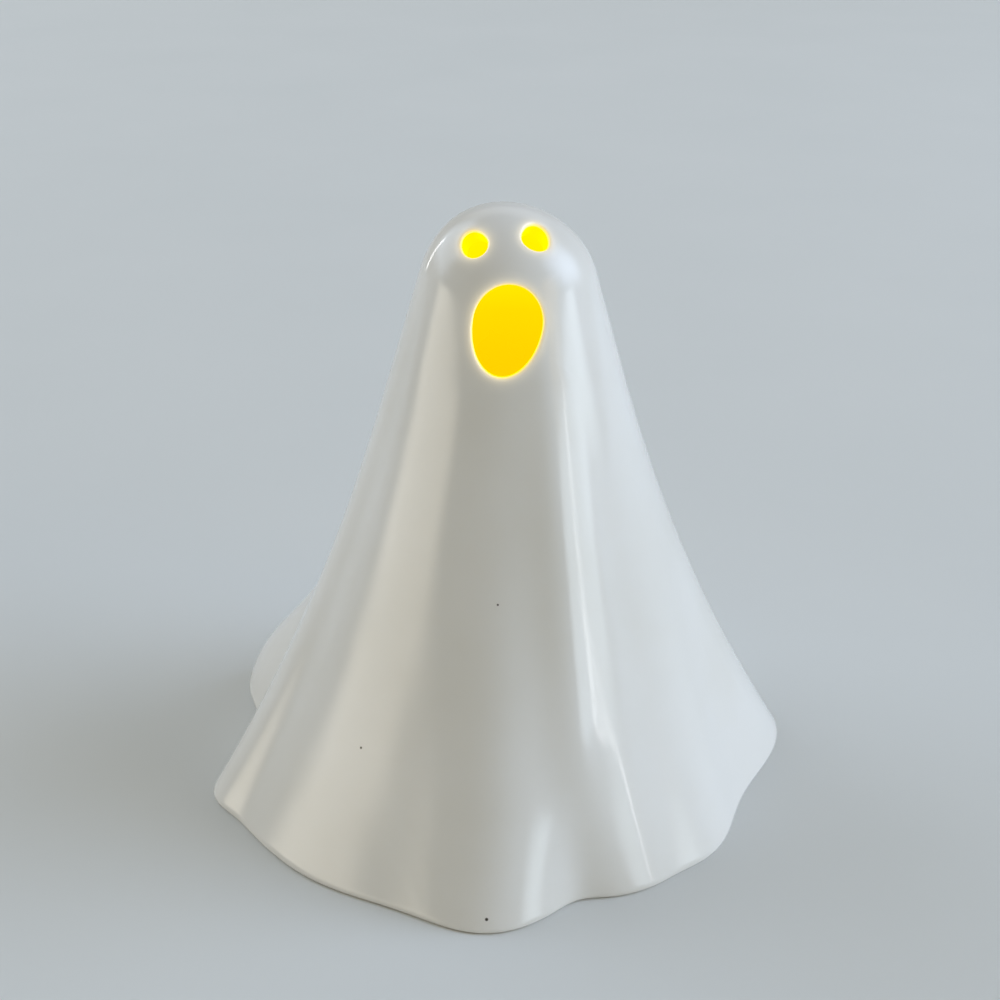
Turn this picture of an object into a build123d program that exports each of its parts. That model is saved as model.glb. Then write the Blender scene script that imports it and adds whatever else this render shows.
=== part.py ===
"""Glazed ceramic ghost that stands over a battery tea light, which shines out of its eyes and mouth."""

from build123d import *
import math
import os

os.makedirs("parts", exist_ok=True)

# Ghost: overall form, millimetres and degrees
HEIGHT = 144.0
HEAD_RADIUS = 20.6
SHOULDER_SLOPE = 16.5
HEM_SLOPE = 20.0
HEM_RADIUS = 60.0
WALL = 4.0
LIP_HEIGHT = 1.4
LIP_BEVEL = 0.9
CROWN_RADIUS = 1.0
CROWN_LEAN = 1.2

# Ghost: folds of the sheet, each (direction, reach at the hem, half width, start below the crown, fade)
# Directions run anticlockwise from +X seen from above, and the face looks along -Y
# A row with a negative reach draws the sheet in: a groove, or the hem of a fold that swells higher up
FOLDS = [
    (197.3, 9.0, 9.2, 32, 1.9),
    (206, -1.5, 4.5, 15, 1),
    (224.3, 9.9, 27.7, 39, 1.9),
    (269, 8.8, 10.8, 56, 1.6),
    (287.8, -4.2, 5, 104, 1.6),
    (290.8, 4.2, 6.5, 15, 1),
    (302.8, 2.0, 5, 15, 1),
    (319.8, 5.7, 12, 54, 1.9),
    (13.5, 14.1, 16, 39, 1.9),
    (63, 12.0, 15, 39, 1.9),
    (112, 13.0, 14, 39, 1.9),
    (153, 25.0, 10.6, 87, 1.42),
    (153, -8.0, 10.6, 124, 1.9),
]
SKIRT_STATIONS = 13
DOME_STATIONS = 5
SECTION_POINTS = 120

# Ghost: face, cut by hand and a little uneven
MOUTH_WIDTH = 15.1
MOUTH_RISE = 8.4
MOUTH_DROP = 11.6
MOUTH_LEAN = 10.4
MOUTH_BELOW_CROWN = 20.1
MOUTH_DIRECTION = 271.0
LEFT_EYE_WIDTH = 5.8
LEFT_EYE_RISE = 4.1
LEFT_EYE_DROP = 3.2
LEFT_EYE_LEAN = -52.5
LEFT_EYE_DIRECTION = 240.6
LEFT_EYE_ELEVATION = 48.0
RIGHT_EYE_WIDTH = 6.2
RIGHT_EYE_RISE = 4.6
RIGHT_EYE_DROP = 2.9
RIGHT_EYE_LEAN = 33.5
RIGHT_EYE_DIRECTION = 302.1
RIGHT_EYE_ELEVATION = 52.2

# Tea light: cup
CUP_HEIGHT = 17.0
CUP_WALL = 1.3
CUP_TAPER = 0.7
DECK_THICKNESS = 1.2
DECK_SINK = 2.0
RIM_WIDTH = 1.2
RIM_FILLET = 0.4
DISH_SLOPE = 40.0
COLLAR_WIDTH = 1.8
COLLAR_RISE = 1.2
FLAME_HOLE_DIAMETER = 11.4

# Tea light: flame
FLAME_DIAMETER = 10.8
FLAME_HEIGHT = 21.0
FLAME_BELLY_HEIGHT = 7.0
FLAME_BELLY_FILLET = 9.0
FLAME_TIP_DIAMETER = 2.6
FLAME_TIP_FILLET = 1.1
FLAME_WALL = 1.0
FLAME_FLANGE_WIDTH = 1.4
FLAME_FLANGE_THICKNESS = 1.3

# Tea light: lamp
LED_DIAMETER = 5.0
LED_HEIGHT = 8.6
LED_FLANGE_DIAMETER = 5.8
LED_FLANGE_THICKNESS = 1.0
LEAD_SIZE = 0.5
LEAD_PITCH = 2.54

# Tea light: cell
CELL_DIAMETER = 20.0
CELL_THICKNESS = 3.2
CELL_CAP_DIAMETER = 16.8
CELL_CAP_DEPTH = 0.7
CELL_CAP_STAND = 0.3
CELL_GASKET_WIDTH = 0.5
CELL_EDGE_FILLET = 0.4

# Tea light: base plate
PLATE_LIFT = 0.6
PLATE_THICKNESS = 1.6
LEDGE_THICKNESS = 0.8
CHANNEL_HEIGHT = 0.9
CHANNEL_ROOF = 0.9
CHANNEL_WALL = 1.0
WELL_WALL = 1.2
WELL_ROOF = 1.0
POST_DIAMETER = 10.4

# Tea light: battery door
DOOR_THICKNESS = 1.6
DOOR_OVERLAP = 0.6
LUG_COUNT = 3
LUG_REACH = 1.2
LUG_ARC = 38.0
LUG_THICKNESS = 0.65
NOTCH_ARC = 46.0
DOOR_TURN = 60.0
STOP_GAP = 1.5
COIN_SLOT_LENGTH = 14.0
COIN_SLOT_WIDTH = 2.0
COIN_SLOT_DEPTH = 0.9

# Tea light: switch
SWITCH_LANE = 4.9
SWITCH_TRAVEL = 3.0
KNOB_LENGTH = 3.2
KNOB_WIDTH = 2.0
KNOB_STAND = 0.4
KNOB_GROOVES = 3
KNOB_GROOVE_WIDTH = 0.4
KNOB_GROOVE_DEPTH = 0.2
SLIDER_LENGTH = 5.2
SLIDER_WIDTH = 2.8
SLIDER_THICKNESS = 0.7
KNOB_FILLET = 0.3

# Tea light: contact strips
STRIP_THICKNESS = 0.3
STRIP_WIDTH = 3.2
NEGATIVE_LENGTH = 12.0
TAB_HEIGHT = 1.8

# Clearances
CELL_CLEARANCE = 0.3
CELL_END_PLAY = 0.1
DOOR_CLEARANCE = 0.2
SLIDE_CLEARANCE = 0.1
LEAD_CLEARANCE = 0.05
PLATE_FIT = 0.05
CUT_REACH = 12.0

# Ghost: worked-out places
HEAD_CENTRE_Z = HEIGHT - HEAD_RADIUS
SHOULDER_ANGLE = math.radians(SHOULDER_SLOPE)
SHOULDER_Z = HEAD_CENTRE_Z + HEAD_RADIUS * math.sin(SHOULDER_ANGLE)
SHOULDER_RADIUS = HEAD_RADIUS * math.cos(SHOULDER_ANGLE)

# Tea light: worked-out heights, from the table up
PLATE_TOP_Z = PLATE_LIFT + PLATE_THICKNESS
LEDGE_TOP_Z = PLATE_LIFT + LEDGE_THICKNESS
LUG_Z = LEDGE_TOP_Z + SLIDE_CLEARANCE
CHANNEL_TOP_Z = LEDGE_TOP_Z + CHANNEL_HEIGHT
STEP_TOP_Z = CHANNEL_TOP_Z + CHANNEL_ROOF
CELL_Z = PLATE_LIFT + DOOR_THICKNESS + CELL_END_PLAY
CELL_TOP_Z = CELL_Z + CELL_THICKNESS
CELL_SEAT_Z = CELL_TOP_Z - CELL_CAP_DEPTH
CELL_RIM_Z = CELL_TOP_Z - CELL_CAP_STAND
NEGATIVE_Z = CELL_TOP_Z + CELL_END_PLAY
WELL_CEILING_Z = NEGATIVE_Z + STRIP_THICKNESS
WELL_TOP_Z = WELL_CEILING_Z + WELL_ROOF
DECK_TOP_Z = CUP_HEIGHT - DECK_SINK
DECK_UNDER_Z = DECK_TOP_Z - DECK_THICKNESS
POST_TOP_Z = DECK_UNDER_Z - FLAME_FLANGE_THICKNESS
SLIDER_Z = PLATE_TOP_Z + SLIDE_CLEARANCE

# Tea light: worked-out radii, from the axis out
POST_RADIUS = POST_DIAMETER / 2
FLAME_RADIUS = FLAME_DIAMETER / 2
HOLE_RADIUS = FLAME_HOLE_DIAMETER / 2
CELL_RADIUS = CELL_DIAMETER / 2
WELL_BORE_RADIUS = CELL_RADIUS + CELL_CLEARANCE
WELL_RADIUS = WELL_BORE_RADIUS + WELL_WALL
DOOR_RADIUS = WELL_BORE_RADIUS + DOOR_OVERLAP
LEDGE_RADIUS = DOOR_RADIUS + DOOR_CLEARANCE
LUG_RADIUS = DOOR_RADIUS + LUG_REACH
CHANNEL_RADIUS = LUG_RADIUS + DOOR_CLEARANCE
STEP_RADIUS = CHANNEL_RADIUS + CHANNEL_WALL
SWITCH_RADIUS = STEP_RADIUS + SWITCH_LANE / 2
CUP_BORE_RADIUS = STEP_RADIUS + SWITCH_LANE
CUP_FOOT_RADIUS = CUP_BORE_RADIUS + CUP_WALL
PLATE_RADIUS = CUP_BORE_RADIUS - PLATE_FIT
LUG_PITCH = 360 / LUG_COUNT
LEAD_X = LEAD_PITCH / 2
LEAD_DROP_Y = WELL_RADIUS + LEAD_SIZE


def skirt_profile(z):
    """Radius of the plain skirt at height z, and the slope of its side from upright, in radians."""
    t = 1 - z / SHOULDER_Z
    top_pull = math.tan(SHOULDER_ANGLE) * SHOULDER_Z
    hem_pull = math.tan(math.radians(HEM_SLOPE)) * SHOULDER_Z
    radius = (
        (2 * t**3 - 3 * t**2 + 1) * SHOULDER_RADIUS
        + (t**3 - 2 * t**2 + t) * top_pull
        + (3 * t**2 - 2 * t**3) * HEM_RADIUS
        + (t**3 - t**2) * hem_pull
    )
    spread = (
        (6 * t**2 - 6 * t) * (SHOULDER_RADIUS - HEM_RADIUS)
        + (3 * t**2 - 4 * t + 1) * top_pull
        + (3 * t**2 - 2 * t) * hem_pull
    )
    return radius, math.atan(spread / SHOULDER_Z)


def fold_reach(angle, z):
    """How far the folds stand out of the plain skirt, in a direction in radians."""
    reach = 0
    for direction, hem_reach, half_width, start, fade in FOLDS:
        start_z = HEIGHT - start
        if z < start_z:
            turn = math.cos(angle - math.radians(direction)) - 1
            swell = math.exp(turn / math.radians(half_width) ** 2)
            reach += hem_reach * (1 - z / start_z) ** fade * swell
    return reach


def head_lean(z):
    """How far the head leans towards +X at height z."""
    share = max(z - SHOULDER_Z, 0) / (HEIGHT - SHOULDER_Z)
    return -CROWN_LEAN * share**2


def section(radius, z, fold_z):
    """Closed outline of the sheet: a plain radius at height z plus the folds of height fold_z."""
    points = []
    for i in range(SECTION_POINTS):
        angle = 2 * math.pi * i / SECTION_POINTS
        reach = radius + fold_reach(angle, fold_z)
        points.append((head_lean(z) + reach * math.cos(angle), reach * math.sin(angle), z))
    return Wire(Edge.make_spline(points, periodic=True))


def draped_solid(inset, lip_bevel):
    """Solid inside the ghost's surface, set in by inset square to it, with a bevel round the hem."""
    profile = []
    for i in range(SKIRT_STATIONS):
        z = LIP_HEIGHT + (SHOULDER_Z - LIP_HEIGHT) * i / SKIRT_STATIONS
        radius, slope = skirt_profile(z)
        profile.append((radius - inset / math.cos(slope), z))
    cap_radius = HEAD_RADIUS - inset
    crown_angle = math.acos(CROWN_RADIUS / cap_radius)
    for i in range(DOME_STATIONS + 1):
        rise = SHOULDER_ANGLE + (crown_angle - SHOULDER_ANGLE) * i / DOME_STATIONS
        profile.append((cap_radius * math.cos(rise), HEAD_CENTRE_Z + cap_radius * math.sin(rise)))
    sheet = Solid.make_loft([section(radius, z, z) for radius, z in profile])
    lip_radius = profile[0][0]
    foot = section(lip_radius - lip_bevel, 0, LIP_HEIGHT)
    lip = Solid.make_loft([foot, section(lip_radius, LIP_HEIGHT, LIP_HEIGHT)], ruled=True)
    return Part() + lip + sheet


def outward(direction, elevation):
    """Unit vector that points out of the ghost in a direction, raised by an elevation, in degrees."""
    flat = math.cos(math.radians(elevation))
    x = flat * math.cos(math.radians(direction))
    y = flat * math.sin(math.radians(direction))
    return Vector(x, y, math.sin(math.radians(elevation)))


def face_plane(point, normal):
    """Plane that touches the ghost at a point, with its Y axis up the surface."""
    across = Vector(0, 0, 1).cross(normal)
    return Plane(origin=point, x_dir=across, z_dir=normal)


def egg(width, rise, drop):
    """Upright egg outline: a half ellipse over another of the same width."""
    upper = EllipticalCenterArc((0, 0), width / 2, rise, 0, arc_size=180)
    lower = EllipticalCenterArc((0, 0), width / 2, drop, 180, arc_size=180)
    return make_face(upper + lower)


def hole_cutter(point, normal, outline, lean):
    """Prism of an outline square to the ghost's surface at a point, its top leaning to the outline's right."""
    return extrude(face_plane(point, normal) * Rot(0, 0, -lean) * outline, CUT_REACH, both=True)


def eye_cutter(direction, elevation, outline, lean):
    normal = outward(direction, elevation)
    eye_z = HEAD_CENTRE_Z + HEAD_RADIUS * math.sin(math.radians(elevation))
    point = Vector(head_lean(eye_z), 0, HEAD_CENTRE_Z) + normal * HEAD_RADIUS
    return hole_cutter(point, normal, outline, lean)


def mouth_cutter():
    mouth_z = HEIGHT - MOUTH_BELOW_CROWN
    radius, slope = skirt_profile(mouth_z)
    normal = outward(MOUTH_DIRECTION, math.degrees(slope))
    point = outward(MOUTH_DIRECTION, 0) * radius + Vector(0, 0, mouth_z)
    return hole_cutter(point, normal, egg(MOUTH_WIDTH, MOUTH_RISE, MOUTH_DROP), MOUTH_LEAN)


def ghost_shell():
    """Slip-cast shell, open below, with a flat foot round the hem and three holes for the light."""
    shell = draped_solid(0, LIP_BEVEL) - draped_solid(WALL, -LIP_BEVEL)
    shell -= mouth_cutter()
    left_eye = egg(LEFT_EYE_WIDTH, LEFT_EYE_RISE, LEFT_EYE_DROP)
    right_eye = egg(RIGHT_EYE_WIDTH, RIGHT_EYE_RISE, RIGHT_EYE_DROP)
    shell -= eye_cutter(LEFT_EYE_DIRECTION, LEFT_EYE_ELEVATION, left_eye, LEFT_EYE_LEAN)
    shell -= eye_cutter(RIGHT_EYE_DIRECTION, RIGHT_EYE_ELEVATION, right_eye, RIGHT_EYE_LEAN)
    return shell


def turned(points):
    """Solid turned about the Z axis from a closed outline of (radius, height) points."""
    return revolve(Plane.XZ * make_face(Polyline(*points, close=True)), Axis.Z)


def ring_sector(inner, outer, low, high, start, arc):
    """Part of a square-edged ring, from a start direction round by an arc, in degrees."""
    middle = Pos((inner + outer) / 2, (low + high) / 2)
    outline = Plane.XZ * middle * Rectangle(outer - inner, high - low)
    return Rot(0, 0, start) * revolve(outline, Axis.Z, arc)


def block(x_low, x_high, y_low, y_high, z_low, z_high):
    """Box between pairs of limits."""
    middle = Pos((x_low + x_high) / 2, (y_low + y_high) / 2, (z_low + z_high) / 2)
    return middle * Box(x_high - x_low, y_high - y_low, z_high - z_low)


def lug_directions():
    return [90 + LUG_PITCH * i for i in range(LUG_COUNT)]


def candle_cup():
    """Plastic cup with a dished top like a pool of wax, and a collar that the flame comes up through."""
    rim_radius = CUP_FOOT_RADIUS - CUP_TAPER
    dish_radius = rim_radius - RIM_WIDTH
    deck_radius = dish_radius - DECK_SINK / math.tan(math.radians(DISH_SLOPE))
    collar_top_z = DECK_TOP_Z + COLLAR_RISE
    cup = turned([
        (CUP_FOOT_RADIUS, 0),
        (rim_radius, CUP_HEIGHT),
        (dish_radius, CUP_HEIGHT),
        (deck_radius, DECK_TOP_Z),
        (HOLE_RADIUS + COLLAR_WIDTH, DECK_TOP_Z),
        (HOLE_RADIUS + COLLAR_WIDTH, collar_top_z),
        (HOLE_RADIUS, collar_top_z),
        (HOLE_RADIUS, DECK_UNDER_Z),
        (CUP_BORE_RADIUS, DECK_UNDER_Z),
        (CUP_BORE_RADIUS, 0),
    ])
    rim = cup.edges().filter_by_position(Axis.Z, CUP_HEIGHT, CUP_HEIGHT)
    collar = cup.edges().filter_by_position(Axis.Z, collar_top_z, collar_top_z)
    return fillet(rim + collar, RIM_FILLET)


def flame_lens():
    """Hollow milky flame with a flange that is trapped between the deck and the lamp post."""
    flange_radius = HOLE_RADIUS + FLAME_FLANGE_WIDTH
    belly_z = DECK_UNDER_Z + FLAME_BELLY_HEIGHT
    tip_z = DECK_UNDER_Z + FLAME_HEIGHT
    tip_radius = FLAME_TIP_DIAMETER / 2
    flame = turned([
        (0, POST_TOP_Z),
        (flange_radius, POST_TOP_Z),
        (flange_radius, DECK_UNDER_Z),
        (FLAME_RADIUS, DECK_UNDER_Z),
        (FLAME_RADIUS, belly_z),
        (tip_radius, tip_z),
        (0, tip_z),
    ])
    flame = fillet(flame.edges().filter_by_position(Axis.Z, belly_z, belly_z), FLAME_BELLY_FILLET)
    flame = fillet(flame.edges().group_by(Axis.Z)[-1], FLAME_TIP_FILLET)
    bore_radius = FLAME_RADIUS - FLAME_WALL
    return flame - turned([
        (0, POST_TOP_Z),
        (bore_radius, POST_TOP_Z),
        (bore_radius, belly_z - FLAME_WALL),
        (tip_radius, tip_z - FLAME_TIP_DIAMETER),
        (0, tip_z - FLAME_TIP_DIAMETER),
    ])


def led_lens():
    """Moulded body of the lamp, with a dome on top and a flange that sits on the post."""
    radius = LED_DIAMETER / 2
    dome_z = POST_TOP_Z + LED_HEIGHT - radius
    standing = (Align.CENTER, Align.CENTER, Align.MIN)
    flange = Cylinder(LED_FLANGE_DIAMETER / 2, LED_FLANGE_THICKNESS, align=standing)
    barrel = Cylinder(radius, dome_z - POST_TOP_Z, align=standing)
    return Pos(0, 0, POST_TOP_Z) * (flange + barrel) + Pos(0, 0, dome_z) * Sphere(radius)


def lead_run(x, y_low, y_high, z_low, z_high, extra=0):
    """Straight run of square wire at x, grown by extra on its sides."""
    half = LEAD_SIZE / 2 + extra
    return block(x - half, x + half, y_low - half, y_high + half, z_low, z_high)


def led_cathode_lead():
    """Leg that goes straight down through the post to the strip over the cell."""
    return lead_run(LEAD_X, 0, 0, WELL_CEILING_Z, POST_TOP_Z)


def led_anode_lead():
    """Leg that bends out along the roof of the well and down to the switched strip."""
    leg = lead_run(-LEAD_X, 0, 0, WELL_TOP_Z, POST_TOP_Z)
    run = lead_run(-LEAD_X, -LEAD_DROP_Y, 0, WELL_TOP_Z, WELL_TOP_Z + LEAD_SIZE)
    drop = lead_run(-LEAD_X, -LEAD_DROP_Y, -LEAD_DROP_Y, STEP_TOP_Z + STRIP_THICKNESS, WELL_TOP_Z)
    return leg + run + drop


def base_plate():
    """Plate that closes the cup, with a well for the cell, a ledge for the door and a post for the lamp."""
    plate = turned([
        (LEDGE_RADIUS, PLATE_LIFT),
        (PLATE_RADIUS, PLATE_LIFT),
        (PLATE_RADIUS, PLATE_TOP_Z),
        (STEP_RADIUS, PLATE_TOP_Z),
        (STEP_RADIUS, STEP_TOP_Z),
        (WELL_RADIUS, STEP_TOP_Z),
        (WELL_RADIUS, WELL_TOP_Z),
        (POST_RADIUS, WELL_TOP_Z),
        (POST_RADIUS, POST_TOP_Z),
        (0, POST_TOP_Z),
        (0, WELL_CEILING_Z),
        (WELL_BORE_RADIUS, WELL_CEILING_Z),
        (WELL_BORE_RADIUS, CHANNEL_TOP_Z),
        (CHANNEL_RADIUS, CHANNEL_TOP_Z),
        (CHANNEL_RADIUS, LEDGE_TOP_Z),
        (LEDGE_RADIUS, LEDGE_TOP_Z),
    ])
    stop_arc = LUG_PITCH - DOOR_TURN - LUG_ARC - 2 * STOP_GAP
    for lug in lug_directions():
        notch_start = lug - DOOR_TURN - NOTCH_ARC / 2
        plate -= ring_sector(DOOR_RADIUS, CHANNEL_RADIUS, PLATE_LIFT, LEDGE_TOP_Z, notch_start, NOTCH_ARC)
        stop_start = lug + LUG_ARC / 2 + STOP_GAP
        plate += ring_sector(LEDGE_RADIUS, CHANNEL_RADIUS, LEDGE_TOP_Z, CHANNEL_TOP_Z, stop_start, stop_arc)
    slot_x = (KNOB_LENGTH + SWITCH_TRAVEL) / 2 + SLIDE_CLEARANCE
    slot_y = KNOB_WIDTH / 2 + SLIDE_CLEARANCE
    plate -= block(-slot_x, slot_x, -SWITCH_RADIUS - slot_y, -SWITCH_RADIUS + slot_y, PLATE_LIFT, PLATE_TOP_Z)
    strip_x = STRIP_WIDTH / 2 + SLIDE_CLEARANCE
    tab_top_z = STEP_TOP_Z + TAB_HEIGHT + SLIDE_CLEARANCE
    plate -= block(-strip_x, strip_x, -STEP_RADIUS, -CELL_RADIUS, STEP_TOP_Z, tab_top_z)
    plate -= lead_run(LEAD_X, 0, 0, WELL_CEILING_Z, POST_TOP_Z, LEAD_CLEARANCE)
    plate -= lead_run(-LEAD_X, 0, 0, WELL_TOP_Z, POST_TOP_Z, LEAD_CLEARANCE)
    exit_top_z = WELL_TOP_Z + LEAD_SIZE + LEAD_CLEARANCE
    plate -= lead_run(-LEAD_X, -POST_RADIUS, 0, WELL_TOP_Z, exit_top_z, LEAD_CLEARANCE)
    return plate


def cell_can():
    """Steel can of the coin cell, with a recess in its top for the cap."""
    recess_radius = CELL_CAP_DIAMETER / 2 + CELL_GASKET_WIDTH
    can = turned([
        (0, CELL_Z),
        (CELL_RADIUS, CELL_Z),
        (CELL_RADIUS, CELL_RIM_Z),
        (recess_radius, CELL_RIM_Z),
        (recess_radius, CELL_SEAT_Z),
        (0, CELL_SEAT_Z),
    ])
    return fillet(can.edges().group_by(Axis.Z)[0], CELL_EDGE_FILLET)


def cell_gasket():
    """Plastic ring that keeps the cap off the can."""
    cap_radius = CELL_CAP_DIAMETER / 2
    return ring_sector(cap_radius, cap_radius + CELL_GASKET_WIDTH, CELL_SEAT_Z, CELL_RIM_Z, 0, 360)


def cell_cap():
    """Cap of the coin cell, its other pole."""
    cap_radius = CELL_CAP_DIAMETER / 2
    return turned([(0, CELL_SEAT_Z), (cap_radius, CELL_SEAT_Z), (cap_radius, CELL_TOP_Z), (0, CELL_TOP_Z)])


def battery_door():
    """Round door with lugs that turn in over the ledge, and a slot for a coin."""
    door_top_z = PLATE_LIFT + DOOR_THICKNESS
    door = turned([(0, PLATE_LIFT), (DOOR_RADIUS, PLATE_LIFT), (DOOR_RADIUS, door_top_z), (0, door_top_z)])
    for lug in lug_directions():
        door += ring_sector(POST_RADIUS, LUG_RADIUS, LUG_Z, LUG_Z + LUG_THICKNESS, lug - LUG_ARC / 2, LUG_ARC)
    slot_x = COIN_SLOT_LENGTH / 2
    slot_y = COIN_SLOT_WIDTH / 2
    return door - block(-slot_x, slot_x, -slot_y, slot_y, PLATE_LIFT, PLATE_LIFT + COIN_SLOT_DEPTH)


def switch_slider():
    """Switch slider at its lit end: a grooved knob below the plate and a flange above it."""
    knob_z = PLATE_LIFT - KNOB_STAND
    knob_x = KNOB_LENGTH / 2
    knob_y = KNOB_WIDTH / 2
    knob = block(-knob_x, knob_x, -knob_y, knob_y, knob_z, SLIDER_Z)
    knob = fillet(knob.edges().filter_by(Axis.Z), KNOB_FILLET)
    for i in range(KNOB_GROOVES):
        x = KNOB_LENGTH * ((i + 1) / (KNOB_GROOVES + 1) - 0.5)
        half = KNOB_GROOVE_WIDTH / 2
        knob -= block(x - half, x + half, -knob_y, knob_y, knob_z, knob_z + KNOB_GROOVE_DEPTH)
    flange_x = SLIDER_LENGTH / 2
    flange_y = SLIDER_WIDTH / 2
    flange = block(-flange_x, flange_x, -flange_y, flange_y, SLIDER_Z, SLIDER_Z + SLIDER_THICKNESS)
    return Pos(SWITCH_TRAVEL / 2, -SWITCH_RADIUS, 0) * (knob + flange)


def positive_contact():
    """Brass strip with a tab beside the can and an arm out over the switch slider."""
    half = STRIP_WIDTH / 2
    tab_y = CELL_RADIUS + CELL_END_PLAY
    arm_y = SWITCH_RADIUS + SLIDER_WIDTH / 2
    tab = block(-half, half, -tab_y - STRIP_THICKNESS, -tab_y, STEP_TOP_Z, STEP_TOP_Z + TAB_HEIGHT)
    arm = block(-half, half, -arm_y, -tab_y, STEP_TOP_Z, STEP_TOP_Z + STRIP_THICKNESS)
    return tab + arm


def negative_contact():
    """Brass strip under the roof of the well, over the cap of the cell."""
    half = STRIP_WIDTH / 2
    return block(-half, half, -NEGATIVE_LENGTH / 2, NEGATIVE_LENGTH / 2, NEGATIVE_Z, WELL_CEILING_Z)


PIECES = [
    ghost_shell,
    candle_cup,
    flame_lens,
    led_lens,
    led_anode_lead,
    led_cathode_lead,
    base_plate,
    cell_can,
    cell_gasket,
    cell_cap,
    battery_door,
    switch_slider,
    positive_contact,
    negative_contact,
]

# The origin is on the table, under the middle of the ghost's outline
solids = {piece.__name__: piece() for piece in PIECES}
outline = solids["ghost_shell"].bounding_box().center()
for name, solid in solids.items():
    placed = Pos(-outline.X, -outline.Y, 0) * solid
    export_step(placed, f"parts/{name}.step")
print("axis of the ghost and tea light at", round(-outline.X, 3), round(-outline.Y, 3))
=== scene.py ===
import bpy
import bmesh
import math
from mathutils import Matrix, Vector


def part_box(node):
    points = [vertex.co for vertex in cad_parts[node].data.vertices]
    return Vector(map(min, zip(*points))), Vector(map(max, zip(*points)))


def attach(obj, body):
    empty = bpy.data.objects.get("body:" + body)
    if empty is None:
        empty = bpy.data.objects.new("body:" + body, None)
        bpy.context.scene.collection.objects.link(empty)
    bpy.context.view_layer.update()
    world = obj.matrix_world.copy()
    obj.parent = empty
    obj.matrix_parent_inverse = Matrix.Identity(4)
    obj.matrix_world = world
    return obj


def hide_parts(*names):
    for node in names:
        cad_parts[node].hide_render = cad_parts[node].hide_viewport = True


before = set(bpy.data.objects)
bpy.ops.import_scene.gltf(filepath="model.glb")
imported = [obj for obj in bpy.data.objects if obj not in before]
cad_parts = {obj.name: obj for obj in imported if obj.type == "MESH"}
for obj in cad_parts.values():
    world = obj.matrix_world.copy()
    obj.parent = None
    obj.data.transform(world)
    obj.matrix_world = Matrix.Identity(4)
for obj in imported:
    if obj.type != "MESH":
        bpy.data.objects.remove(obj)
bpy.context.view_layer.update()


# Candle cup, base plate and battery door
# The tea light's housing: three injection mouldings in warm white plastic with a fine spark-eroded skin.
# The plate closes the cup from below, and the round door turns into the plate and locks with three lugs.
class Finish:
    """A material under way: its nodes, and the Principled shader that they feed."""

    def __init__(self, name):
        self.material = bpy.data.materials.new(name)
        self.material.use_nodes = True
        self.tree = self.material.node_tree
        self.shader = self.tree.nodes["Principled BSDF"]
        self.place = self.node("ShaderNodeTexCoord").outputs["Object"]

    def node(self, kind, **settings):
        made = self.tree.nodes.new(kind)
        for key, value in settings.items():
            setattr(made, key, value)
        return made

    def join(self, source, socket):
        self.tree.links.new(source, socket)

    def feed(self, name, value):
        """Links an output to one of the shader's sockets, or sets the socket."""
        if isinstance(value, bpy.types.NodeSocket):
            self.join(value, self.shader.inputs[name])
        else:
            self.shader.inputs[name].default_value = value

    def stretched(self, scale):
        made = self.node("ShaderNodeMapping")
        made.inputs["Scale"].default_value = scale
        self.join(self.place, made.inputs["Vector"])
        return made.outputs["Vector"]

    def noise(self, scale, detail=2.0, place=None):
        made = self.node("ShaderNodeTexNoise")
        made.inputs["Scale"].default_value = scale
        made.inputs["Detail"].default_value = detail
        self.join(place or self.place, made.inputs["Vector"])
        return made.outputs["Fac"]

    def height(self):
        made = self.node("ShaderNodeSeparateXYZ")
        self.join(self.place, made.inputs["Vector"])
        return made.outputs["Z"]

    def fit(self, source, low, high, to_low=0.0, to_high=1.0):
        made = self.node("ShaderNodeMapRange", clamp=True)
        for key, value in (("From Min", low), ("From Max", high), ("To Min", to_low), ("To Max", to_high)):
            made.inputs[key].default_value = value
        self.join(source, made.inputs["Value"])
        return made.outputs["Result"]

    def ramp(self, source, *stops):
        made = self.node("ShaderNodeValToRGB")
        elements = made.color_ramp.elements
        while len(elements) < len(stops):
            elements.new(0.5)
        for element, (position, colour) in zip(elements, stops):
            element.position = position
            element.color = (*colour, 1)
        self.join(source, made.inputs["Fac"])
        return made.outputs["Color"]

    def mix(self, share, first, second):
        made = self.node("ShaderNodeMix", data_type="RGBA")
        self.join(share, made.inputs[0])
        for index, value in ((6, first), (7, second)):
            if isinstance(value, bpy.types.NodeSocket):
                self.join(value, made.inputs[index])
            else:
                made.inputs[index].default_value = (*value, 1)
        return made.outputs[2]

    def bump(self, source, distance, strength=1.0, under=None):
        made = self.node("ShaderNodeBump")
        made.inputs["Strength"].default_value = strength
        made.inputs["Distance"].default_value = distance
        self.join(source, made.inputs["Height"])
        if under:
            self.join(under, made.inputs["Normal"])
        return made.outputs["Normal"]

    def coat(self, *nodes):
        """Puts the material on CAD pieces."""
        for name in nodes:
            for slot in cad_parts[name].material_slots:
                slot.material = self.material


housing = Finish("white_plastic")
housing.feed("Base Color", housing.mix(housing.noise(160, 3), (0.84, 0.82, 0.76), (0.89, 0.88, 0.83)))
housing.feed("Roughness", housing.fit(housing.noise(900, 2), 0.3, 0.7, 0.32, 0.46))
housing.feed("Normal", housing.bump(housing.noise(2600, 2), 0.00003, 0.5))
housing.coat("candle_cup", "base_plate", "battery_door")


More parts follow.
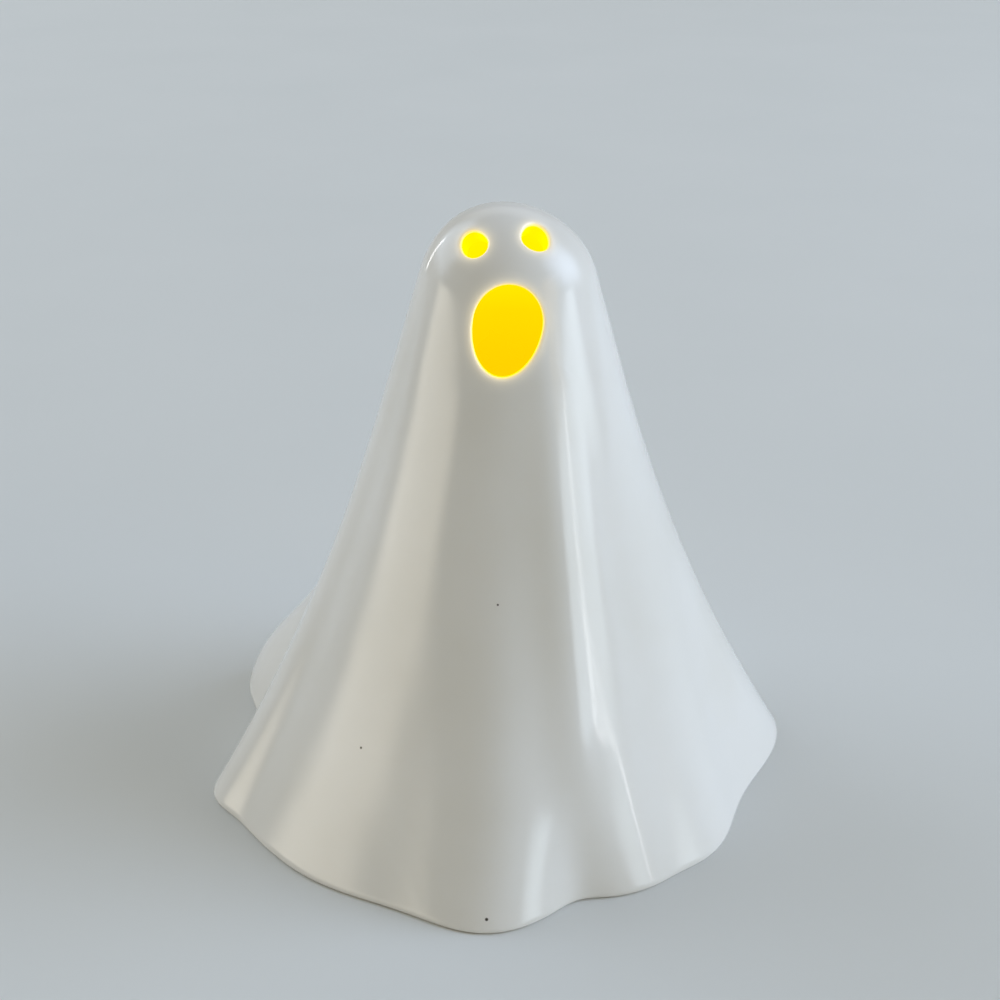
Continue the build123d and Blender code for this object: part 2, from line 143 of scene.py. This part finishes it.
# Flame
# A hollow flame moulded in milky amber plastic, trapped by its flange between the cup's deck and the
# lamp's post. The lamp inside makes its belly shine, and it pales towards the tip.
flame = Finish("flame_plastic")
flame_low, flame_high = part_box("flame_lens")
flame_rise = flame.fit(flame.height(), flame_low.z, flame_high.z)
flame.feed("Base Color", flame.mix(flame.noise(220, 2), (0.95, 0.66, 0.24), (1.0, 0.78, 0.38)))
flame.feed("Roughness", flame.fit(flame.noise(700, 2), 0.3, 0.7, 0.22, 0.36))
flame.feed("Normal", flame.bump(flame.noise(1500, 2), 0.00004, 0.5))
flame.feed("Emission Color", flame.ramp(
    flame_rise, (0, (0.35, 0.14, 0.01)), (0.35, (1.0, 0.50, 0.05)),
    (0.6, (1.0, 0.66, 0.16)), (1, (1.0, 0.80, 0.40)),
))
flame.feed("Emission Strength", 1.0)
flame.coat("flame_lens")


# Lamp and its legs
# A 5 mm flickering lamp cast in yellow-tinted resin, which stands on the plate's post inside the flame.
# Its two legs are square wire, cropped from a tinned strip and bent down to the contacts.
resin = Finish("led_resin")
resin.feed("Base Color", resin.mix(resin.noise(400, 2), (0.95, 0.72, 0.26), (1.0, 0.84, 0.42)))
resin.feed("Roughness", resin.fit(resin.noise(600, 2), 0.3, 0.7, 0.05, 0.12))
resin.feed("Emission Color", resin.ramp(
    resin.noise(500, 2), (0.3, (1.0, 0.62, 0.10)), (0.7, (1.0, 0.76, 0.22)),
))
resin.feed("Emission Strength", 1.0)
resin.coat("led_lens")
wire = Finish("tinned_wire")
drawn = wire.noise(1200, 3, wire.stretched((1, 1, 0.06)))
wire.feed("Base Color", wire.mix(drawn, (0.62, 0.62, 0.60), (0.80, 0.80, 0.79)))
wire.feed("Metallic", 1.0)
wire.feed("Roughness", wire.fit(drawn, 0.3, 0.7, 0.24, 0.42))
wire.feed("Normal", wire.bump(drawn, 0.00002, 0.5))
wire.coat("led_anode_lead", "led_cathode_lead")


# Coin cell
# A sealed 20 mm cell: a pressed can and a cap of nickel-plated steel with a black nylon ring crimped
# between them. The plating keeps the fine scratches of the tumbling drum.
plating = Finish("cell_steel")
scratches = plating.noise(1400, 4, plating.stretched((1, 0.12, 1)))
plating.feed("Base Color", plating.mix(plating.noise(300, 3), (0.66, 0.66, 0.64), (0.78, 0.78, 0.77)))
plating.feed("Metallic", 1.0)
plating.feed("Roughness", plating.fit(scratches, 0.3, 0.7, 0.18, 0.36))
plating.feed("Normal", plating.bump(scratches, 0.00002, 0.4))
plating.coat("cell_can", "cell_cap")
gasket = Finish("gasket_plastic")
gasket.feed("Base Color", gasket.mix(gasket.noise(500, 2), (0.035, 0.035, 0.038), (0.065, 0.065, 0.07)))
gasket.feed("Roughness", gasket.fit(gasket.noise(900, 2), 0.3, 0.7, 0.5, 0.68))
gasket.coat("cell_gasket")


# Switch
# A slide switch moulded in black plastic, with three finger grooves across its knob.
# Its runners lie in the plate's slot, and it makes the contact at its lit end.
knob = Finish("black_plastic")
knob.feed("Base Color", knob.mix(knob.noise(700, 3), (0.025, 0.025, 0.028), (0.055, 0.055, 0.06)))
knob.feed("Roughness", knob.fit(knob.noise(1500, 2), 0.3, 0.7, 0.42, 0.6))
knob.feed("Normal", knob.bump(knob.noise(4000, 2), 0.00003, 0.6))
knob.coat("switch_slider")


# Contacts
# Two strips of spring brass, stamped from rolled sheet, that join the cell to the switch and to the lamp.
# They are pressed into the plate, and the rolling leaves a fine grain along them.
brass = Finish("contact_brass")
rolling = brass.noise(1600, 3, brass.stretched((1, 0.1, 1)))
brass.feed("Base Color", brass.mix(rolling, (0.66, 0.50, 0.24), (0.83, 0.68, 0.38)))
brass.feed("Metallic", 1.0)
brass.feed("Roughness", brass.fit(rolling, 0.3, 0.7, 0.24, 0.42))
brass.feed("Normal", brass.bump(rolling, 0.00002, 0.4))
brass.coat("positive_contact", "negative_contact")


# Ghost shell
# A draped sheet, slip-cast in white earthenware about 4 mm thick, open below and dipped in clear gloss glaze.
# The eyes and the mouth were cut by hand in the soft clay, so the glaze has rounded their edges.
# It stands over the tea light, whose glow is painted: an emission on the inner wall fills it, and a painted
# glow warms the glaze round the holes.
cup_low, cup_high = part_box("candle_cup")
axis = (cup_low + cup_high) / 2
axis.z = 0
crown_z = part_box("ghost_shell")[1].z
wall = 0.0040
foot_reach = 5 * wall
head_radius = 0.0206
head_centre = axis + Vector((0, 0, crown_z - head_radius))
crown_lean = 0.0012
shoulder_slope = math.radians(16.5)
shoulder_z = head_centre.z + head_radius * math.sin(shoulder_slope)
shoulder_radius = head_radius * math.cos(shoulder_slope)
hem_slope = math.radians(20)
hem_radius = 0.060
# Each fold: direction in degrees, reach at the hem, half width in degrees, start below the crown, fade
folds = [
    (197.3, 0.0090, 9.2, 0.032, 1.9),
    (206, -0.0015, 4.5, 0.015, 1),
    (224.3, 0.0099, 27.7, 0.039, 1.9),
    (269, 0.0088, 10.8, 0.056, 1.6),
    (287.8, -0.0042, 5, 0.104, 1.6),
    (290.8, 0.0042, 6.5, 0.015, 1),
    (302.8, 0.0020, 5, 0.015, 1),
    (319.8, 0.0057, 12, 0.054, 1.9),
    (13.5, 0.0141, 16, 0.039, 1.9),
    (63, 0.0120, 15, 0.039, 1.9),
    (112, 0.0130, 14, 0.039, 1.9),
    (153, 0.0250, 10.6, 0.087, 1.42),
    (153, -0.0080, 10.6, 0.124, 1.9),
]


def plain_skirt(z):
    """Radius of the sheet without folds at a height, and the slope of its side from upright."""
    t = 1 - z / shoulder_z
    top_pull = math.tan(shoulder_slope) * shoulder_z
    hem_pull = math.tan(hem_slope) * shoulder_z
    radius = (2 * t**3 - 3 * t**2 + 1) * shoulder_radius + (t**3 - 2 * t**2 + t) * top_pull
    radius += (3 * t**2 - 2 * t**3) * hem_radius + (t**3 - t**2) * hem_pull
    spread = (6 * t**2 - 6 * t) * (shoulder_radius - hem_radius) + (3 * t**2 - 4 * t + 1) * top_pull
    spread += (3 * t**2 - 2 * t) * hem_pull
    return radius, math.atan(spread / shoulder_z)


def lean(z):
    """How far the head leans at a height."""
    share = max(z - shoulder_z, 0) / (crown_z - shoulder_z)
    return Vector((-crown_lean * share**2, 0, 0))


def out_from_axis(direction, elevation=0.0):
    """Direction that leaves the axis at a turn about it and an elevation."""
    level = math.cos(elevation)
    return Vector((level * math.cos(direction), level * math.sin(direction), math.sin(elevation)))


def on_head(point, depth=0.0):
    """The point of the leaning head, or of its inner wall, that lies out from its centre."""
    spot = head_centre + (point - lean(point.z) - head_centre).normalized() * (head_radius - depth)
    return spot + lean(spot.z)


def on_sheet(point, depth=0.0):
    """The point of the sheet or its inner wall out from the axis, or on the head out from its centre."""
    if point.z > head_centre.z + (head_radius - depth) * math.sin(shoulder_slope):
        return on_head(point, depth)
    direction = math.atan2(point.y - axis.y, point.x - axis.x)
    radius, slope = plain_skirt(point.z)
    radius -= depth / math.cos(slope)
    for crest, reach, half_width, start, fade in folds:
        if point.z < crown_z - start:
            grown = (1 - point.z / (crown_z - start)) ** fade
            turn = math.cos(direction - math.radians(crest)) - 1
            radius += reach * grown * math.exp(turn / math.radians(half_width) ** 2)
    return axis + out_from_axis(direction) * radius + Vector((0, 0, point.z))


def behind(point):
    """The point of the inner wall behind a point of the outside, level with it at the foot."""
    if point.z > shoulder_z:
        return on_head(point, wall)
    slope = plain_skirt(point.z)[1]
    lift = min(point.z / foot_reach, 1)
    inset = wall * (lift * math.cos(slope) + (1 - lift) / math.cos(slope))
    outward = Vector((point.x - axis.x, point.y - axis.y, 0)).normalized()
    return point - outward * inset - Vector((0, 0, lift * wall * math.sin(slope)))


class Opening:
    """A cut hole: its middle and facing, half width, rise and drop, and the grid block that it takes out."""

    settling_steps = 8

    def __init__(self, direction, middle, elevation, sizes, tilt, block):
        self.direction = direction
        self.middle = middle
        self.normal = out_from_axis(direction, elevation)
        level = Vector((0, 0, 1)).cross(self.normal).normalized()
        upward = self.normal.cross(level)
        self.across = level * math.cos(tilt) - upward * math.sin(tilt)
        self.up = upward * math.cos(tilt) + level * math.sin(tilt)
        self.half_width, self.rise, self.drop = sizes
        self.block_turn, self.block_low, self.block_high = block

    def reading(self, point):
        """Turn of a point round the hole, and its distance out from the edge."""
        u = (point - self.middle).dot(self.across)
        v = (point - self.middle).dot(self.up)
        height = self.rise if v > 0 else self.drop
        share = math.hypot(u / self.half_width, v / height)
        return math.atan2(v / height, u / self.half_width), math.hypot(u, v) * (1 - 1 / max(share, 0.01))

    def edge(self, turn, depth=0.0):
        """Point of the hole's edge on the sheet's outside or inner wall, square in from the outline."""
        height = self.rise if math.sin(turn) > 0 else self.drop
        point = self.middle + self.across * (self.half_width * math.cos(turn))
        point += self.up * (height * math.sin(turn))
        for _ in range(self.settling_steps):
            point = point + self.normal * (on_sheet(point, depth) - point).dot(self.normal)
        return point

    def takes(self, face):
        centre = face.calc_center_median()
        centre -= lean(centre.z)
        turn = math.atan2(centre.y - axis.y, centre.x - axis.x) - self.direction
        turn = abs((turn + math.pi) % (2 * math.pi) - math.pi)
        return turn < self.block_turn and self.block_low < centre.z < self.block_high


def head_z(elevation):
    """Height of the head's outside at an elevation in degrees from its centre."""
    return head_centre.z + head_radius * math.sin(math.radians(elevation))


mouth_direction = math.radians(271)
mouth_below_crown = 0.0201
mouth_z = crown_z - mouth_below_crown
mouth_radius, mouth_slope = plain_skirt(mouth_z)
mouth_middle = axis + out_from_axis(mouth_direction) * mouth_radius + Vector((0, 0, mouth_z))
mouth_sizes = (0.00755, 0.0084, 0.0116)
mouth_tilt = math.radians(10.4)
mouth_block_drop = 0.0140
mouth_block = (math.radians(38), mouth_z - mouth_block_drop, head_z(30.5))
mouth = Opening(mouth_direction, mouth_middle, mouth_slope, mouth_sizes, mouth_tilt, mouth_block)
openings = [mouth]
# Each eye: direction and elevation in degrees, half width, rise and drop, tilt, and its block in degrees
for direction, elevation, sizes, tilt, block in (
    (240.6, 48.0, (0.0029, 0.0041, 0.0032), -52.5, (26, 34, 62.5)),
    (302.1, 52.2, (0.0031, 0.0046, 0.0029), 33.5, (32, 37.5, 69)),
):
    direction, facing, tilt = math.radians(direction), math.radians(elevation), math.radians(tilt)
    eye_middle = head_centre + out_from_axis(direction, facing) * head_radius + lean(head_z(elevation))
    eye_block = (math.radians(block[0]), head_z(block[1]), head_z(block[2]))
    openings.append(Opening(direction, eye_middle, facing, sizes, tilt, eye_block))

bm = bmesh.new()


def draw_out(edges, place):
    """Extrudes a ring of edges, puts each new vertex in its place, and returns the new ring."""
    made = bmesh.ops.extrude_edge_only(bm, edges=edges)["geom"]
    for part in made:
        if isinstance(part, bmesh.types.BMVert):
            place(part)
    return [part for part in made if isinstance(part, bmesh.types.BMEdge) and part.is_boundary]


columns = 288
skirt_rows = 70
dome_rows = 22
bmesh.ops.create_circle(
    bm, cap_ends=False, segments=columns, radius=hem_radius, matrix=Matrix.Translation(axis)
)
hem = list(bm.edges)
for vert in bm.verts:
    vert.co = on_sheet(vert.co)
ring = hem
for step in range(1, skirt_rows + 1):
    def climb(vert):
        vert.co = on_sheet(Vector((vert.co.x, vert.co.y, shoulder_z * step / skirt_rows)))
    ring = draw_out(ring, climb)
for step in range(1, dome_rows):
    elevation = shoulder_slope + (math.pi / 2 - shoulder_slope) * step / dome_rows

    def close_in(vert):
        spot = vert.co - lean(vert.co.z) - axis
        spot = head_centre + out_from_axis(math.atan2(spot.y, spot.x), elevation) * head_radius
        vert.co = spot + lean(spot.z)
    ring = draw_out(ring, close_in)
crown = bmesh.ops.extrude_edge_only(bm, edges=ring)["geom"]
crown = [part for part in crown if isinstance(part, bmesh.types.BMVert)]
bmesh.ops.pointmerge(bm, verts=crown, merge_co=head_centre + Vector((0, 0, head_radius)) + lean(crown_z))

# Each hole takes its block out of the grid, and rings draw in from there to its edge, clear of the rounding
hole_edges = []
behind_hole = {}
clear_of_edge = 0.0013
ring_shares = (0.35, 0.5, 0.6, 1)
for opening in openings:
    closed = {edge for edge in bm.edges if not edge.is_boundary}
    bmesh.ops.delete(bm, geom=[face for face in bm.faces if opening.takes(face)], context="FACES")
    ring = [edge for edge in bm.edges if edge.is_boundary and edge in closed]
    for share in ring_shares:
        def draw_in(vert):
            turn = opening.reading(vert.co)[0]
            room = (opening.edge(turn) - vert.co).length
            part = share if share == 1 else share * max(1 - clear_of_edge / room, 0)
            behind_hole[vert] = on_sheet(behind(vert.co).lerp(opening.edge(turn, wall), part), wall)
            vert.co = on_sheet(vert.co.lerp(opening.edge(turn), part))
        ring = draw_out(ring, draw_in)
    hole_edges.append(ring)
bmesh.ops.recalc_face_normals(bm, faces=bm.faces)
hem = [edge for edge in hem if edge.is_boundary]

# The inner wall is a copy set in by the thickness of the clay, joined at the foot and at each hole
outer_verts = list(bm.verts)
copied = bmesh.ops.duplicate(bm, geom=bm.verts[:] + bm.edges[:] + bm.faces[:])
inner_faces = [part for part in copied["geom"] if isinstance(part, bmesh.types.BMFace)]
for vert in outer_verts:
    copied["vert_map"][vert].co = behind_hole[vert] if vert in behind_hole else behind(vert.co)
bmesh.ops.reverse_faces(bm, faces=inner_faces)
for face in inner_faces:
    face.material_index = 1
twin = copied["edge_map"]
bmesh.ops.bridge_loops(bm, edges=hem + [twin[edge] for edge in hem])
for ring in hole_edges:
    for face in bmesh.ops.bridge_loops(bm, edges=ring + [twin[edge] for edge in ring])["faces"]:
        face.material_index = 1
bmesh.ops.recalc_face_normals(bm, faces=bm.faces)

# Rounded by the glaze: the hem, the mouth and the eyes
foot_edges = hem + [twin[edge] for edge in hem]
hem_round = 0.0014
mouth_round = 0.0010
eye_round = 0.0008
for edges, radius in zip([foot_edges] + hole_edges, (hem_round, mouth_round, eye_round, eye_round)):
    rounded = bmesh.ops.bevel(
        bm, geom=edges, offset=radius, offset_type="OFFSET", segments=4, profile=0.5, affect="EDGES",
        material=-1,
    )
    for face in rounded["faces"]:
        face.material_index = 0
# Painted glow: a weight on the front of the shell that is 1 at each hole's edge and fades with the distance
# from the nearest edge
painted_hole_glow = bm.verts.layers.float.new("painted_hole_glow")
painted_glow_reach = 0.0013
for vert in bm.verts:
    if vert.co.z > mouth.block_low and vert.co.y < axis.y:
        gap = min(opening.reading(vert.co)[1] for opening in openings)
        vert[painted_hole_glow] = math.exp(-max(gap, 0) / painted_glow_reach)
for face in bm.faces:
    face.smooth = True
ghost_mesh = bpy.data.meshes.new("ghost")
bm.to_mesh(ghost_mesh)
bm.free()
ghost = bpy.data.objects.new("ghost", ghost_mesh)
bpy.context.collection.objects.link(ghost)

glaze = Finish("white_glaze")
milk = (0.80, 0.79, 0.77)
cream = (0.76, 0.745, 0.71)
bisque = (0.62, 0.55, 0.47)
iron = (0.05, 0.04, 0.03)
tone = glaze.mix(glaze.fit(glaze.noise(24, 3), 0.35, 0.65), cream, milk)
# Iron specks burnt into the glaze: direction in degrees, height and size of each
for direction, height, size in (
    (268.2, 0.0032, 0.00038), (234.6, 0.0302, 0.00030), (268.7, 0.0655, 0.00024),
    (75, 0.0480, 0.00030), (131, 0.0170, 0.00034), (18, 0.0870, 0.00022),
):
    to_speck = glaze.node("ShaderNodeVectorMath", operation="DISTANCE")
    beside = axis + out_from_axis(math.radians(direction)) + Vector((0, 0, height))
    to_speck.inputs[1].default_value = on_sheet(beside)
    glaze.join(glaze.place, to_speck.inputs[0])
    tone = glaze.mix(glaze.fit(to_speck.outputs["Value"], 0.7 * size, 1.2 * size, 1, 0), tone, iron)
wiped_z, glazed_z = 0.0001, 0.0004
tone = glaze.mix(glaze.fit(glaze.height(), wiped_z, glazed_z, 1, 0), tone, bisque)
glaze.feed("Base Color", tone)
glaze.feed("Roughness", glaze.fit(glaze.noise(60, 2), 0.3, 0.7, 0.06, 0.12))
ripple = glaze.bump(glaze.noise(38, 1, glaze.stretched((1, 1, 0.3))), 0.0006, 0.5)
glaze.feed("Normal", glaze.bump(glaze.noise(420, 2), 0.00004, 0.3, ripple))
# Painted glow round the holes: the emission runs from none to orange as that weight rises, standing in for
# the tea light's light
painted_glow_near_hole = glaze.node("ShaderNodeAttribute", attribute_name="painted_hole_glow")
glaze.feed("Emission Color", glaze.ramp(
    painted_glow_near_hole.outputs["Fac"], (0, (0.0, 0.0, 0.0)), (0.1, (0.012, 0.010, 0.006)),
    (0.22, (0.05, 0.042, 0.025)), (0.46, (0.17, 0.14, 0.08)), (0.68, (0.33, 0.25, 0.10)),
    (0.83, (0.47, 0.32, 0.04)), (1, (0.8, 0.5, 0.0)),
))
glaze.feed("Emission Strength", 1.0)

# Painted glow: the inner wall and the hole walls are no lamp. Their emission runs from dark orange low down
# to lemon under the crown and stands in for the tea light's light. Their base colour darkens upward from pale
# bisque through yellow-brown to near black, so the painted glow stays flat.
shining = Finish("painted_glow_inner_wall")
up_inside = shining.fit(shining.height(), 0, crown_z)
shining.feed("Base Color", shining.ramp(
    up_inside, (0, (0.74, 0.70, 0.62)), (0.25, (0.5, 0.35, 0.10)), (0.5, (0.1, 0.05, 0.0)),
))
shining.feed("Roughness", shining.fit(shining.noise(60, 2), 0.3, 0.7, 0.25, 0.4))
shining.feed("Emission Color", shining.ramp(
    up_inside, (0, (0.05, 0.02, 0.0)), (0.3, (0.8, 0.38, 0.01)), (0.6, (1.0, 0.58, 0.0)),
    (0.7, (1.0, 0.62, 0.0)), (0.78, (1.0, 0.67, 0.0)), (0.83, (1.0, 0.77, 0.0)), (0.94, (1.0, 0.86, 0.0)),
))
shining.feed("Emission Strength", 1.0)
shining.feed("Normal", shining.bump(shining.noise(90, 2), 0.0004, 0.3))
ghost_mesh.materials.append(glaze.material)
ghost_mesh.materials.append(shining.material)
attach(ghost, "ghost")
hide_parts("ghost_shell")


# Camera
# It stands at the photograph's height and looks with its tilt and its angle of view.
# The turn to the side and the small roll are those of the photograph too.
camera = bpy.data.objects.new("camera", bpy.data.cameras.new("camera"))
bpy.context.collection.objects.link(camera)
bpy.context.scene.camera = camera
camera.data.sensor_width = 36
camera.data.lens = 58.63
eye_point = axis + Vector((0.0049, -0.351, 0.24256))
pitch, yaw, roll = math.radians(25.96), math.radians(-1.02), math.radians(0.53)
ahead = Vector((math.sin(yaw) * math.cos(pitch), math.cos(yaw) * math.cos(pitch), -math.sin(pitch)))
level = Vector((math.cos(yaw), -math.sin(yaw), 0))
above = level.cross(ahead)
sideways = level * math.cos(roll) + above * math.sin(roll)
upright = above * math.cos(roll) - level * math.sin(roll)
turned = Matrix((sideways, upright, -ahead)).transposed().to_4x4()
camera.matrix_world = Matrix.Translation(eye_point) @ turned


# Floor and light
# A plain pale tabletop in an even room with a pale wall, and a ring of light boxes with soft edges.
# A cool window fills the right, low boxes light the flanks, and two narrow ones draw lines on the glaze.
floor_half = 1.7
floor_mesh = bpy.data.meshes.new("floor")
bm = bmesh.new()
bmesh.ops.create_grid(bm, x_segments=1, y_segments=1, size=floor_half)
bm.to_mesh(floor_mesh)
bm.free()
floor = bpy.data.objects.new("floor", floor_mesh)
bpy.context.collection.objects.link(floor)
tabletop = Finish("pale_tabletop")
tabletop.feed("Base Color", tabletop.mix(tabletop.noise(9, 3), (0.70, 0.715, 0.71), (0.74, 0.75, 0.745)))
tabletop.feed("Roughness", 0.7)
tabletop.feed("Specular IOR Level", 0.2)
floor_mesh.materials.append(tabletop.material)


def light_box(name, place, size, watts, colour, soft_edge=0.3):
    """A light box that faces the ghost, whose cloth dims towards its edges over a share of its size."""
    data = bpy.data.lights.new(name, "AREA")
    data.shape = "RECTANGLE"
    data.size, data.size_y = size
    data.energy = watts
    data.color = colour
    data.use_nodes = True
    nodes, links = data.node_tree.nodes, data.node_tree.links
    cloth = nodes.new("ShaderNodeSeparateXYZ")
    links.new(nodes.new("ShaderNodeNewGeometry").outputs["Parametric"], cloth.inputs["Vector"])
    dimmed = nodes.new("ShaderNodeMath")
    dimmed.operation = "MULTIPLY"
    for index, side in enumerate("XY"):
        from_edge = nodes.new("ShaderNodeMath")
        from_edge.operation = "PINGPONG"
        from_edge.inputs[1].default_value = 0.5
        links.new(cloth.outputs[side], from_edge.inputs[0])
        fade = nodes.new("ShaderNodeMapRange")
        fade.interpolation_type = "SMOOTHSTEP"
        fade.inputs["From Max"].default_value = soft_edge
        links.new(from_edge.outputs["Value"], fade.inputs["Value"])
        links.new(fade.outputs["Result"], dimmed.inputs[index])
    links.new(dimmed.outputs["Value"], nodes["Emission"].inputs["Strength"])
    made = bpy.data.objects.new(name, data)
    bpy.context.collection.objects.link(made)
    towards_ghost = (aim - place).to_track_quat("-Z", "Y").to_matrix().to_4x4()
    made.matrix_world = Matrix.Translation(place) @ towards_ghost


def round_ghost(turn, rise):
    """Place on the ring of light boxes: turned to the right from the camera, and risen from the table."""
    return aim + out_from_axis(math.radians(turn - 90), math.radians(rise)) * ring_radius


ring_radius = 3.2
aim = axis + Vector((0, 0, 0.06))
light_box("window", round_ghost(94, 30), (4.0, 3.8), 254, (0.64, 0.78, 1.0), 0.45)
light_box("window_front", round_ghost(58, 20), (1.5, 1.5), 10, (1.0, 0.70, 0.25))
light_box("window_low", round_ghost(68, 4.5), (3.4, 0.68), 25, (0.80, 0.92, 1.0), 0.2)
light_box("window_edge", round_ghost(62, 5), (0.07, 0.80), 0.9, (1, 1, 1), 0.1)
light_box("left_low", round_ghost(-70, 4.5), (4.0, 0.68), 29, (1.0, 0.92, 0.76), 0.25)
light_box("left_back", round_ghost(-118, 32), (4.0, 3.2), 88, (0.71, 0.83, 1.0))
light_box("left_edge", round_ghost(-136, 9), (0.21, 1.28), 3.6, (1, 1, 1), 0.1)
light_box("rear", round_ghost(180, 36), (3.8, 1.7), 9, (1, 1, 1))
world = bpy.data.worlds.new("room")
bpy.context.scene.world = world
world.use_nodes = True
room_light = (0.27, 0.255, 0.20, 1)
room_wall = (0.44, 0.45, 0.44, 1)
nodes, links = world.node_tree.nodes, world.node_tree.links
ray = nodes.new("ShaderNodeLightPath")
seen = ray.outputs["Is Camera Ray"]
for kind in ("Is Glossy Ray", "Is Transmission Ray"):
    either = nodes.new("ShaderNodeMath")
    either.operation = "MAXIMUM"
    links.new(seen, either.inputs[0])
    links.new(ray.outputs[kind], either.inputs[1])
    seen = either.outputs["Value"]
wall_or_light = nodes.new("ShaderNodeMix")
wall_or_light.data_type = "RGBA"
wall_or_light.inputs[6].default_value = room_light
wall_or_light.inputs[7].default_value = room_wall
links.new(seen, wall_or_light.inputs[0])
links.new(wall_or_light.outputs[2], nodes["Background"].inputs["Color"])
bpy.context.scene.view_settings.view_transform = "Standard"
